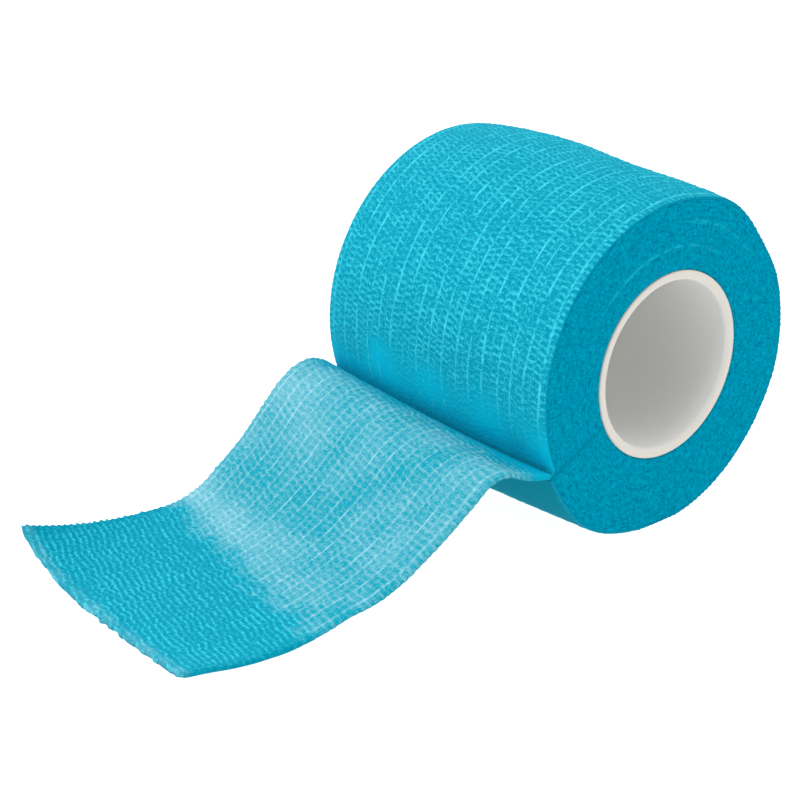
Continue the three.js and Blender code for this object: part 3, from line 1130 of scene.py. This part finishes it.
def makeLooseThreads(material):
    bm = bmesh.new()
    steps = elastic["looseSteps"]
    yaw = math.radians(looseEnd["yaw"])
    progress = np.linspace(0.03, 0.992, steps)
    stray = progress * looseEnd["strayLength"] + looseEnd["strayFrom"]
    for line in threadLines:
        share = lineAcross(stray, np.full(steps, line)) / halfWidth
        middle, through, out = looseMiddle(share, progress)
        stretched = stretchedPart(out, share)
        height = cloth["stretchedWeb"] / 2 - elastic["looseDepth"]
        height = height - elastic["hidden"] * (1 - stretched) + threadRise(out, line, looseSinks)
        sideways = np.broadcast_to([math.sin(yaw), math.cos(yaw), 0.0], middle.shape)
        layTube(bm, middle + through * height[:, None], through, sideways, elastic["radius"],
                elastic["sides"], stretched)
    piece = makePiece(bm, "looseThreads", material, weld=1e-7)
    return piece


def makeCore(material):
    # A section with eased corners, spun round the roll's axis.
    bm = bmesh.new()
    middle = (core["outerRadius"] - core["wall"] / 2) * mm
    wall, length = core["wall"] * mm, core["length"] * mm
    nearlyHalf = 0.49
    bmesh.ops.create_grid(bm, x_segments=1, y_segments=1, size=0.5)
    for vert in bm.verts:
        vert.co = (middle + vert.co.x * wall, vert.co.y * length, 0)
    for side, offset in ((-1, core["innerRound"]), (1, core["outerRound"])):
        corners = [
            vert for vert in bm.verts
            if (vert.co.x - middle) * side > wall * nearlyHalf
            and abs(vert.co.y) > length * nearlyHalf
        ]
        bmesh.ops.bevel(bm, geom=corners, offset=offset * mm, segments=core["roundSteps"],
                        profile=0.5, affect="VERTICES", material=-1)
    bmesh.ops.delete(bm, geom=bm.faces, context="FACES_ONLY")
    bmesh.ops.spin(bm, geom=list(bm.verts) + list(bm.edges), cent=(0, 0, 0), axis=(0, 1, 0),
                   angle=2 * math.pi, steps=core["turnSteps"], use_merge=True)
    bmesh.ops.translate(bm, verts=bm.verts, vec=coreAxis())
    piece = makePiece(bm, "coreTube", material)
    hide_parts("core")


# The photograph's viewpoint, fitted from the four rims of the roll and its core.
view = {
    "place": (-273.8, -269.1, 179.6),
    "azimuth": -41.72,
    "elevation": 23.47,
    "lens": 113.1,
    "sensor": 36,
}


def makeCamera():
    camera = bpy.data.objects.new("camera", bpy.data.cameras.new("camera"))
    camera.data.lens = view["lens"]
    camera.data.sensor_width = view["sensor"]
    camera.data.clip_start = 0.01
    camera.location = [value * mm for value in view["place"]]
    tilt, turn = math.radians(90 - view["elevation"]), math.radians(view["azimuth"])
    camera.rotation_euler = (tilt, 0, turn)
    bpy.context.scene.collection.objects.link(camera)
    bpy.context.scene.camera = camera


# Soft studio light on a lit white table: large panels from the left and from above, weaker ones in
# front and to the right, and one behind that lights the bore from its far end. Distances and sizes
# are in metres.
lights = [
    {"name": "keyPanel", "azimuth": -97, "elevation": 50, "away": 0.8, "size": 0.4, "watts": 3.8},
    {"name": "topPanel", "azimuth": -60, "elevation": 82, "away": 0.9, "size": 0.6, "watts": 2.2},
    {"name": "fillPanel", "azimuth": -8, "elevation": 14, "away": 1.0, "size": 0.7, "watts": 0.5},
    {"name": "sidePanel", "azimuth": 50, "elevation": 20, "away": 0.9, "size": 0.6, "watts": 2.2},
    {"name": "backPanel", "azimuth": 172, "elevation": 10, "away": 0.9, "size": 0.5, "watts": 5.0},
]
room = {
    "strength": 0.6,
    "tableGlow": 0.97,
    "table": "#a2a2a0",
    "tableSize": 3,          # metres from the middle to each side
    "tableDrop": 0.02,       # so that no face of the cloth lies in its plane
    "aimHeight": 20,
}


def makeLights():
    aim = np.array([0, 0, room["aimHeight"] * mm])
    for light in lights:
        a, e = math.radians(light["azimuth"]), math.radians(light["elevation"])
        back = np.array([math.sin(a) * math.cos(e), -math.cos(a) * math.cos(e), math.sin(e)])
        lamp = bpy.data.lights.new(light["name"], "AREA")
        lamp.energy = light["watts"]
        lamp.size = light["size"]
        panel = bpy.data.objects.new(light["name"], lamp)
        panel.location = aim + back * light["away"]
        panel.rotation_euler = (math.radians(90) - e, 0, a)
        bpy.context.scene.collection.objects.link(panel)
    world = bpy.data.worlds.new("paleRoom")
    world.use_nodes = True
    background = world.node_tree.nodes["Background"]
    background.inputs["Color"].default_value = (1, 1, 1, 1)
    background.inputs["Strength"].default_value = room["strength"]
    bpy.context.scene.world = world
    bpy.context.scene.view_settings.view_transform = "Standard"


def makeFloor():
    bm = bmesh.new()
    bmesh.ops.create_grid(bm, x_segments=1, y_segments=1, size=room["tableSize"])
    bmesh.ops.translate(bm, verts=bm.verts, vec=(0, 0, -room["tableDrop"] * mm))
    mesh = bpy.data.meshes.new("litTable")
    bm.to_mesh(mesh)
    bm.free()
    material = newMaterial("litWhiteAcrylic")
    shader = addNode(material, "ShaderNodeBsdfPrincipled", {
        "Base Color": colour(room["table"]), "Roughness": 0.9, "Specular IOR Level": 0.1,
        "Emission Color": (1, 1, 1, 1), "Emission Strength": room["tableGlow"],
    })
    addNode(material, "ShaderNodeOutputMaterial", {"Surface": shader})
    mesh.materials.append(material)
    floor = bpy.data.objects.new("litTable", mesh)
    bpy.context.scene.collection.objects.link(floor)


makeCamera()
makeLights()
makeFloor()
print("camera, light and floor set")

clothMaterial = crepeCloth()
threadMaterial = elasticThread()

makeCore(mouldedCore())
makeOuterTurn(clothMaterial)
makePackedTurns(packedFelt())
makeRollThreads(threadMaterial)
looseCloth = makeLooseCloth(clothMaterial)
looseThreads = makeLooseThreads(threadMaterial)
print("pieces made")
